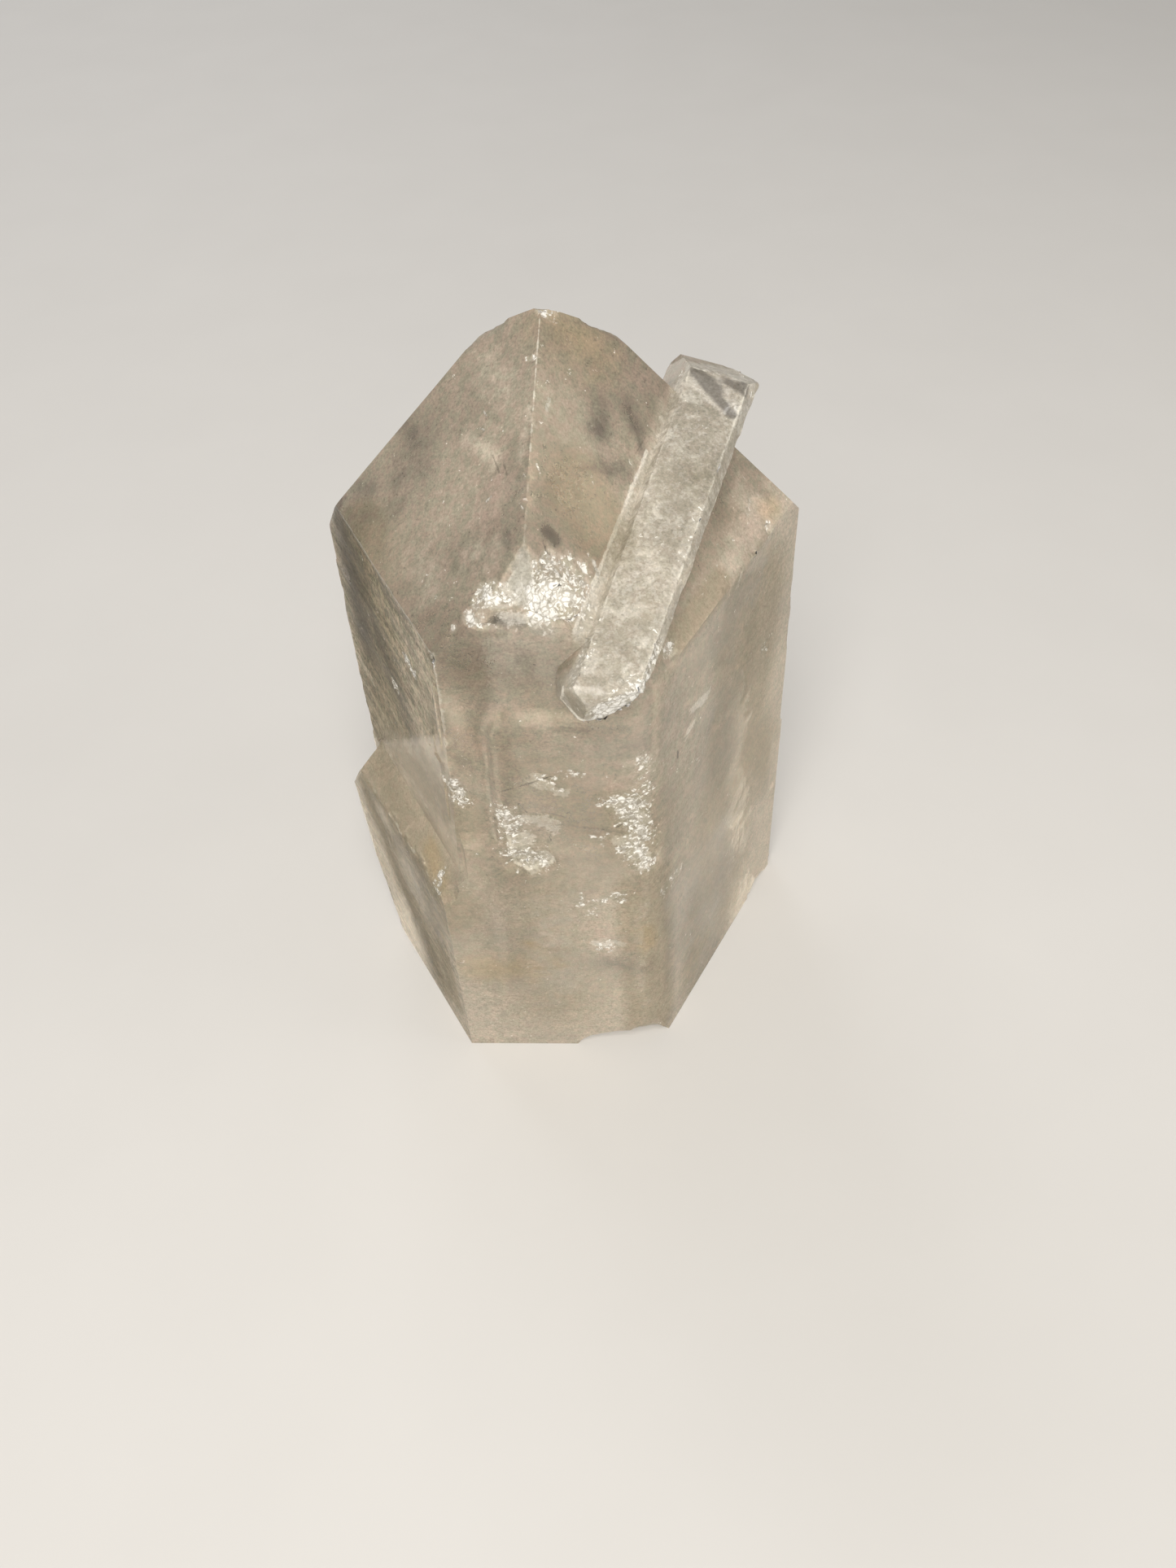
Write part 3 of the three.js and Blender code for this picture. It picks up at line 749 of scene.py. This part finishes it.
free_of_foot = ramp(skin[:, 2], FOOT_MARGIN, 2 * FOOT_MARGIN)
upright = ramp(np.abs(facing[:, 2]), 0.3, 0.0)
striae_field = np.zeros(len(skin))
for direction, strength in STRIAE_BY_FACE:
    outlook = np.array((math.cos(math.radians(direction)), math.sin(math.radians(direction))))
    match = ramp(facing[:, :2] @ outlook, 0.86, 0.94)
    striae_field = np.maximum(striae_field, match * strength)
striae_field *= upright * (1.0 - slim_field)
faces_left = facing[:, :2] @ LEFTWARD > 0.9
on_side_crystal = skin @ SIDE_FACE > SIDE_FACE_AT
on_shoulder = faces_left & (skin @ SHOULDER_LEDGE < SHOULDER_LEDGE_AT) & ~on_side_crystal
striae_field = np.where(on_shoulder, 0.0, striae_field)
striae_field = np.where(on_side_crystal & faces_left, SIDE_STRIAE, striae_field)
print(int((striae_field > 0).sum()), "points with striae")

# %% Attributes and vertex groups
fields = {
    "shattered": closeness(wander(skin, 1.7, 1.3), SHATTERED),
    "painted_depth_shade": closeness(skin, PAINTED_DEPTH_SHADE),
    "veil_and_glow": closeness(skin, VEILS_AND_GLOWS),
    "flake": closeness(wander(skin, 2.2, 1.1), PALE_FLAKES),
    "painted_shade": closeness(skin, PAINTED_SHADE_PLACES),
    "stain": closeness(skin, STAINS),
    "blush": closeness(skin, BLUSHES),
    "slim": slim_field,
    "striae": striae_field,
}
for name, values in fields.items():
    layer = stone.data.attributes.new(name, "FLOAT", "POINT")
    layer.data.foreach_set("value", values.astype(np.float32))

weigh(stone, "striated", striae_field * free_of_foot)
weigh(stone, "broken", ramp(fields["shattered"], -0.1, 0.9) * free_of_foot)
weigh(stone, "nicked", np.clip(closeness(skin, WORN_EDGES), 0.0, 1.0) * free_of_foot)
weigh(stone, "slim_skin", slim_field)
weigh(stone, "uneven", free_of_foot)
print("fields:", ", ".join(fields))


# %% Cut the relief
def ruler(name, size, direction=None):
    """An empty whose scale stretches a texture, and whose Z may lie along a direction."""
    empty = bpy.data.objects.new(name, None)
    bpy.context.scene.collection.objects.link(empty)
    empty.scale = in_metres(size)
    if direction is not None:
        empty.rotation_euler = Vector(direction).to_track_quat("Z", "Y").to_euler()
    bpy.context.view_layer.update()
    return empty


def relief(piece, group, kind, depth, size, direction=None, contrast=1.0):
    """Cuts noise of one kind and size into a vertex group of the piece, up to a depth in mm."""
    texture = bpy.data.textures.new(group, kind)
    texture.noise_scale = 1.0
    texture.contrast = contrast
    stretch = ruler(group + "_ruler", size, direction)
    finish_with(
        piece,
        "DISPLACE",
        texture=texture,
        texture_coords="OBJECT",
        texture_coords_object=stretch,
        vertex_group=group,
        strength=depth * MM,
        mid_level=1.0,
    )
    bpy.data.objects.remove(stretch)
    bpy.data.textures.remove(texture)


relief(stone, "uneven", "CLOUDS", 0.10, (9, 9, 9))
relief(stone, "striated", "CLOUDS", 0.20, (7, 7, 1.6), contrast=1.3)
slim_direction = Vector(SLIM_TIP) - Vector(SLIM_FOOT)
relief(stone, "slim_skin", "CLOUDS", 0.16, (5, 5, 1.6), direction=slim_direction)
relief(stone, "broken", "VORONOI", 0.32, (0.8, 0.8, 0.8), contrast=1.4)
relief(stone, "nicked", "CLOUDS", 0.22, (1.3, 1.3, 1.3), contrast=2.4)
print("relief cut")

# %% [markdown]
# ## Clear, cloudy, frosted and stained quartz
#
# Two shaders are mixed. The clear one is plain glass with quartz's refractive index of 1.544, over
# a volume that absorbs blue a little more than red, so deep stone looks warm. The cloudy one is a
# satin skin that stands for the fine veils just under the surface. The mix is almost all cloud in
# breaks and over the striae, and middling over most of the stone. Where the stone looks into unlit
# depth, the skin isn't made clearer but darker: there the dark is painted shade.
#
# Thin lines, such as a worn rim with its painted highlight, a crack or a painted shadow under a
# ledge, are finer than the mesh. They are strokes too, but the material itself measures how far
# every spot is from them. Their third number is half their width.

# %% Thin lines: light rims, partly worn edges and partly painted edge highlights
RIMS_AND_HIGHLIGHTS = [
    ((-1.1, -1.2, 101.9), (-1.7, -6.6, 98.9), 0.15, 0.5),
    ((-1.7, -6.6, 98.9), (-2.5, -15.2, 94.2), 0.16, 0.5),
    ((-2.5, -15.2, 94.2), (-3.3, -23.5, 89.6), 0.16, 0.25),
    ((0.9, -32.8, 80.6), (14.7, 4.3, 91.7), 0.24, 0.3),
    ((9.3, -6.2, 88.0), (1.1, -27.7, 82.5), 0.26, 0.55),
    ((7.2, -33.4, 79.8), (21.0, 2.3, 90.4), 0.28, 0.5),
    ((8.4, -32.0, 79.0), (22.0, 2.8, 88.7), 0.26, 0.6),
    ((14.7, 4.3, 91.7), (21.0, 2.3, 90.4), 0.20, 0.5),
    ((-0.8, -31.1, 76.7), (0.9, -32.7, 75.6), 0.42, 1.2),
    ((0.9, -32.7, 75.6), (2.1, -33.3, 75.2), 0.42, 1.2),
    ((-0.3, -31.8, 79.1), (-0.8, -31.0, 76.5), 0.36, 1.0),
    ((1.5, -33.2, 75.2), (1.9, -33.9, 77.3), 0.22, 0.5),
    ((2.1, -33.2, 75.1), (4.8, -32.6, 75.2), 0.60, 1.2),
    ((4.8, -32.6, 75.2), (7.9, -32.8, 78.7), 0.60, 1.2),
    ((1.9, -33.9, 77.3), (6.2, -33.7, 79.8), 0.22, 0.4),
    ((-13.2, -27.2, 79.7), (-13.4, -27.2, 66.0), 0.32, 0.4),
    ((-7.9, -28.1, 54.0), (-7.2, -27.9, 45.4), 0.22, 0.4),
    ((-7.2, -27.9, 45.4), (-5.6, -28.0, 44.1), 0.26, 0.6),
    ((-5.6, -28.0, 44.1), (-2.8, -28.2, 45.6), 0.26, 0.6),
    ((-2.8, -28.2, 45.6), (-2.4, -28.2, 47.6), 0.20, 0.5),
    ((-29.5, -6.0, 38.2), (-25.5, -13.0, 38.3), 0.24, 0.4),
    ((-24.9, -14.0, 38.3), (-23.0, -17.4, 38.3), 0.34, 0.8),
    ((-22.0, -19.2, 38.3), (-20.6, -21.8, 38.4), 0.34, 0.8),
    ((-20.2, -22.4, 38.4), (-17.1, -27.7, 38.4), 0.24, 0.5),
]
print(len(RIMS_AND_HIGHLIGHTS), "rims")

# %% Thin lines: clear grey panes in the great patch, cracks, and painted shadows under ledges
PANES = [
    ((-3.3, -23.7, 89.3), (-4.6, -25.2, 86.4), 0.62, 1.0),
    ((-3.2, -23.7, 89.3), (-3.3, -25.0, 86.8), 0.62, 1.0),
    ((-3.9, -25.2, 86.8), (-3.8, -26.0, 85.2), 0.55, 0.8),
    ((-2.4, -27.2, 83.0), (-1.4, -27.4, 82.6), 0.85, 0.6),
]
CRACKS_AND_LEDGE_SHADOWS = [
    ((-8.7, -28.1, 58.8), (-5.6, -28.3, 60.1), 0.14, 0.6),
    ((-5.6, -28.3, 60.1), (-2.2, -28.4, 61.7), 0.16, 0.9),
    ((-4.2, -28.2, 52.4), (-1.3, -28.5, 53.1), 0.16, 0.8),
    ((3.6, -28.5, 57.2), (5.6, -28.6, 56.6), 0.12, 0.9),
    ((-1.5, -21.9, 88.9), (-0.8, -23.0, 87.5), 0.17, 1.0),
    ((-1.2, -20.6, 89.3), (1.2, -20.6, 87.9), 0.20, 0.9),
    ((8.0, -7.7, 88.6), (9.3, -5.0, 89.0), 0.12, 0.6),
    ((-5.8, -14.4, 91.9), (-6.4, -12.2, 92.3), 0.12, 0.5),
    ((-4.8, -16.1, 92.1), (-5.3, -14.0, 92.5), 0.14, 0.6),
    ((12.4, -23.5, 59.6), (12.5, -23.5, 58.6), 0.30, 1.0),
    ((9.2, -29.0, 27.6), (10.0, -29.0, 28.0), 0.12, 0.8),
    ((-14.0, -27.4, 63.0), (-13.4, -27.4, 57.6), 0.20, 0.7),
    # The next two lines are painted shadows under growth ledges of the front face.
    ((-1.5, -28.4, 69.4), (8.0, -28.8, 69.2), 0.45, 0.3),
    ((-7.0, -28.4, 51.6), (-4.2, -28.2, 51.8), 0.30, 0.35),
    ((-3.4, -28.2, 55.6), (-1.0, -28.3, 54.6), 0.14, 0.7),
    ((-6.0, -28.1, 57.0), (-5.2, -28.1, 55.2), 0.12, 0.6),
    ((5.0, -28.5, 52.4), (6.6, -28.5, 53.6), 0.12, 0.7),
    ((-13.6, -27.3, 68.6), (-13.2, -27.3, 65.0), 0.16, 0.6),
    # A painted shadow under the lower growth ledge of the front face.
    ((-1.3, -28.5, 53.1), (6.0, -28.6, 51.6), 0.30, 0.3),
]
print(len(PANES), "panes and", len(CRACKS_AND_LEDGE_SHADOWS), "cracks")

# %% The quartz material: fields and noise
quartz = Bench("cloudy_quartz")
coordinates = quartz.node("ShaderNodeTexCoord", output="Object")
place = quartz.node(
    "ShaderNodeVectorMath", {"operation": "SCALE"}, {0: coordinates, "Scale": 1.0 / MM}
)

shattered = quartz.attribute("shattered")
painted_depth_shade = quartz.attribute("painted_depth_shade")
veil_and_glow = quartz.attribute("veil_and_glow")
pale_flake = quartz.attribute("flake")
painted_shade = quartz.attribute("painted_shade")
stain = quartz.attribute("stain")
blush = quartz.attribute("blush")
slim = quartz.attribute("slim")
striae = quartz.attribute("striae")

# Noise at the stone's own scales, in millimetres: drifting cloud, wisps, crumbs, grain and dust.
cloud = quartz.noise(place, 0.055, detail=4.0, roughness=0.55, distortion=0.6)
wisp = quartz.noise(place, 0.28, detail=4.0, roughness=0.62, distortion=1.6)
crumb = quartz.noise(place, 0.9, detail=3.0, roughness=0.65)
grain = quartz.noise(place, 2.5, detail=2.0, roughness=0.7)
dust = quartz.noise(place, 4.5, detail=1.0)
level_place = quartz.vector("MULTIPLY", place, (0.11, 0.11, 0.9))
lines = quartz.noise(level_place, 1.0, detail=4.0, roughness=0.7, distortion=0.3)
ragged = (crumb - 0.5) * 1.4 + (grain - 0.5) * 1.5

# %% The quartz material: glassy flakes
# Broken quartz splits into small glassy flakes; each flake gets a painted glint, as bright as it
# happens to be turned.
jitter = quartz.node("ShaderNodeTexNoise", None, {"Vector": place, "Scale": 1.1}, output="Color")
flake_place = quartz.vector("ADD", place, jitter)
flake = quartz.node(
    "ShaderNodeTexVoronoi", None, {"Vector": flake_place, "Scale": 2.3}, output="Color"
)
flake_gap = quartz.node(
    "ShaderNodeTexVoronoi", {"feature": "DISTANCE_TO_EDGE"}, {"Vector": flake_place, "Scale": 1.2}
)
core = shattered.ramp(0.5, 1.2)
glint = (flake * 0.9 + (grain - 0.5) * 1.5 + core * 0.24).ramp(0.15, 0.62)
glint = glint * (0.2 + flake_gap.ramp(0.02, 0.14) * 0.8)
print("flakes are wired")


# %% The quartz material: masks
def drawn(strokes, waver):
    """A mask of thin lines, whose width wavers with noise."""
    mask = None
    for start, end, width, strength in strokes:
        distance = quartz.distance_to(place, start, end)
        line = (distance + waver * width * 3.0).ramp(width * 1.3, width * 0.5) * strength
        mask = line if mask is None else mask.maths("MAXIMUM", line)
    return mask


halo = (shattered + (crumb - 0.5) * 0.8).ramp(-0.45, 0.45)
scatter = (flake * 0.9 + halo * 0.32 + (grain - 0.5) * 0.5).ramp(0.86, 0.96)
frost = (shattered + ragged).ramp(0.38, 0.62).maths("MAXIMUM", scatter)
flaked = (pale_flake + (crumb - 0.5) * 1.3 + (grain - 0.5) * 0.8).ramp(0.1, 0.45)
pit = (0.33 - grain + (wisp - 0.5) * 0.25).ramp(0.0, 0.07)
speck = (grain + (wisp - 0.5) * 0.35).ramp(0.74, 0.84)
rim_and_highlight = drawn(RIMS_AND_HIGHLIGHTS, crumb - 0.5)
crack_and_ledge_shadow = drawn(CRACKS_AND_LEDGE_SHADOWS, crumb - 0.5)
tick = drawn(TICKS, crumb - 0.5)
pane = drawn(PANES, (crumb - 0.5) * 0.3)
streak = ((lines - 0.5) * striae * 2.0).ramp(0.02, 0.24)
depth_shade_mask = (painted_depth_shade + (wisp - 0.5) * 1.5 + (crumb - 0.5) * 0.4).ramp(-0.05, 1.05)
veil_and_glow_mask = (veil_and_glow + (wisp - 0.5) * 0.9).ramp(0.0, 1.1)
painted_shade_mask = (painted_shade + (wisp - 0.5) * 0.5).ramp(0.0, 0.9)
stained = (stain + (wisp - 0.5) * 0.8).ramp(0.0, 1.1)
blushed = (blush + (wisp - 0.5) * 0.8).ramp(0.0, 1.1)
print("masks are wired")

# %% The quartz material: how cloudy it is
LEAST_CLOUD = 0.15
MOST_CLOUD = 0.97

haze = 0.62 + (cloud - 0.5) * 0.5 + (wisp - 0.5) * 0.35 + slim * 0.12 + striae * 0.3
haze = haze + veil_and_glow_mask * 0.33 + streak * 0.1 + rim_and_highlight * 0.4 + speck * 0.3 + halo * 0.3
haze = haze + flaked * 0.1 + depth_shade_mask * slim * 0.2
frost = frost * (1.0 - depth_shade_mask * 0.8) * (1.0 - pane * 0.9)
whitest = frost.maths("MAXIMUM", tick)
cloudiness = haze.maths("MAXIMUM", whitest).maths("MINIMUM", MOST_CLOUD)
cloudiness = cloudiness.maths("MAXIMUM", LEAST_CLOUD)

# Light that is already inside meets the skin from behind and finds it clear, as in real quartz.
from_inside = quartz.node("ShaderNodeNewGeometry", output="Backfacing")
cloudiness = cloudiness * (1.0 - from_inside)
print("cloudiness runs from", LEAST_CLOUD, "to", MOST_CLOUD)

# %% The quartz material: colour of the sound stone
body = quartz.mix(cloud.ramp(0.3, 0.7), colour(0.37, 0.315, 0.247), colour(0.47, 0.405, 0.32))
# The striae's stripes run darker than the sound stone: real banding, and painted shade on the left
# face, where the striae are strongest.
lined_share = lines * 0.7 + crumb * 0.3 + (wisp - 0.5) * 0.7 + (grain - 0.5) * 0.4
lined_share = lined_share.ramp(0.36, 0.68)
lined = quartz.mix(lined_share, colour(0.14, 0.122, 0.082), colour(0.56, 0.49, 0.365))
body = quartz.mix(striae * 0.8, body, lined)
mottle = quartz.mix(crumb.ramp(0.38, 0.62), colour(0.94, 1.0, 0.96), colour(1.05, 0.99, 0.99))
body = quartz.vector("MULTIPLY", body, mottle)
body = quartz.mix(slim * 0.65, body, colour(0.43, 0.40, 0.335))
frosting = (slim * 0.9 + (wisp - 0.5) * 3.0 + (crumb - 0.5) * 1.0).ramp(0.75, 1.6)
body = quartz.mix(frosting * 0.42, body, colour(0.76, 0.735, 0.655))
slim_flakes = (flake + (crumb - 0.5)).ramp(0.55, 0.8) * slim
body = quartz.mix(slim_flakes * 0.18, body, colour(0.86, 0.84, 0.78))
print("body colour is wired")

# %% The quartz material: colour of the marks
# Veils lighten the skin; along the right edge that lightening is a painted glow.
body = quartz.mix(veil_and_glow_mask * 0.3, body, colour(0.60, 0.54, 0.455))
# Painted shade: where the stone looks into unlit depth, the skin is painted nearly black.
body = quartz.mix(depth_shade_mask * 0.8, body, colour(0.10, 0.09, 0.078))
body = quartz.mix(stained * 0.42, body, colour(0.50, 0.37, 0.19))
body = quartz.mix(blushed * 0.3, body, colour(0.60, 0.42, 0.36))
body = quartz.mix(halo * 0.3, body, colour(0.48, 0.45, 0.385))
body = quartz.mix(flaked * (0.3 + flake * 0.5), body, colour(0.66, 0.63, 0.56))
body = quartz.mix(pane * 0.9, body, colour(0.37, 0.35, 0.295))
body = quartz.mix(speck * 0.5, body, colour(0.85, 0.81, 0.73))
# Rims are partly worn, pale edges and partly painted edge highlights.
body = quartz.mix(rim_and_highlight * 0.85, body, colour(0.90, 0.86, 0.77))
# Dark cracks, and painted shadows under the growth ledges of the front face.
body = quartz.mix(crack_and_ledge_shadow * 0.8, body, colour(0.09, 0.075, 0.06))
body = quartz.mix(pit * 0.3, body, colour(0.12, 0.10, 0.08))

# Fine grain makes the skin lighter and darker, and painted shade gives chosen places a warm grey
# tint.
shade = 0.20 + crumb * 0.28 + grain * 0.82 + dust * 0.58
body = quartz.node("ShaderNodeVectorMath", {"operation": "SCALE"}, {0: body, "Scale": shade})
painted_shade_tint = quartz.mix(painted_shade_mask, colour(1.0, 1.0, 1.0), colour(0.705, 0.685, 0.625))
painted_shade_tint = quartz.mix(painted_shade.ramp(1.1, 2.3), painted_shade_tint, colour(0.55, 0.53, 0.465))
body = quartz.vector("MULTIPLY", body, painted_shade_tint)
# In breaks, painted glints on the flakes and painted shade in the gaps between them, which are also
# fine cracks, lie over the white of the break.
gaps = quartz.mix(core, colour(0.32, 0.288, 0.232), colour(0.47, 0.44, 0.375))
white = quartz.mix(core, colour(0.86, 0.835, 0.775), colour(0.91, 0.89, 0.84))
frost_and_glints = quartz.mix(glint, gaps, white)
cloud_colour = quartz.mix(whitest, body, frost_and_glints)
print("colours are wired")

# %% The quartz material: surface and depth
QUARTZ_IOR = 1.544

skin_bump = quartz.node(
    "ShaderNodeBump",
    None,
    {"Strength": 0.3, "Distance": 0.00006, "Height": dust * 0.5 + grain + lines * striae * 5.0},
)
crumble = quartz.node(
    "ShaderNodeBump",
    None,
    {"Strength": 0.8, "Distance": 0.00025, "Height": grain * core, "Normal": skin_bump},
)
clear_shader = quartz.node(
    "ShaderNodeBsdfPrincipled",
    None,
    {
        "Base Color": colour(1.0, 0.985, 0.96),
        "Roughness": 0.09 + frost * 0.5 + rim_and_highlight * 0.2,
        "IOR": QUARTZ_IOR,
        "Transmission Weight": 1.0,
        "Normal": crumble,
    },
)
cloud_shader = quartz.node(
    "ShaderNodeBsdfPrincipled",
    None,
    {
        "Base Color": cloud_colour,
        "Roughness": 0.36 + frost * 0.35 + striae * 0.4,
        "IOR": QUARTZ_IOR,
        "Specular IOR Level": 0.12,
        "Normal": crumble,
    },
)
surface = quartz.node(
    "ShaderNodeMixShader", None, {0: cloudiness, 1: clear_shader, 2: cloud_shader}
)
depth = quartz.node(
    "ShaderNodeVolumeAbsorption", None, {"Color": colour(0.80, 0.765, 0.70), "Density": 26.0}
)
quartz.node("ShaderNodeOutputMaterial", None, {"Surface": surface, "Volume": depth})
print("the material has", len(quartz.material.node_tree.nodes), "nodes")

# %% Dress the stone
stone.data.materials.append(quartz.material)
chosen(stone)
bpy.ops.object.shade_smooth_by_angle(angle=math.radians(30))
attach(stone, "root")
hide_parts("quartz_crystal")
print("triangles:", sum(len(face.vertices) - 2 for face in stone.data.polygons))
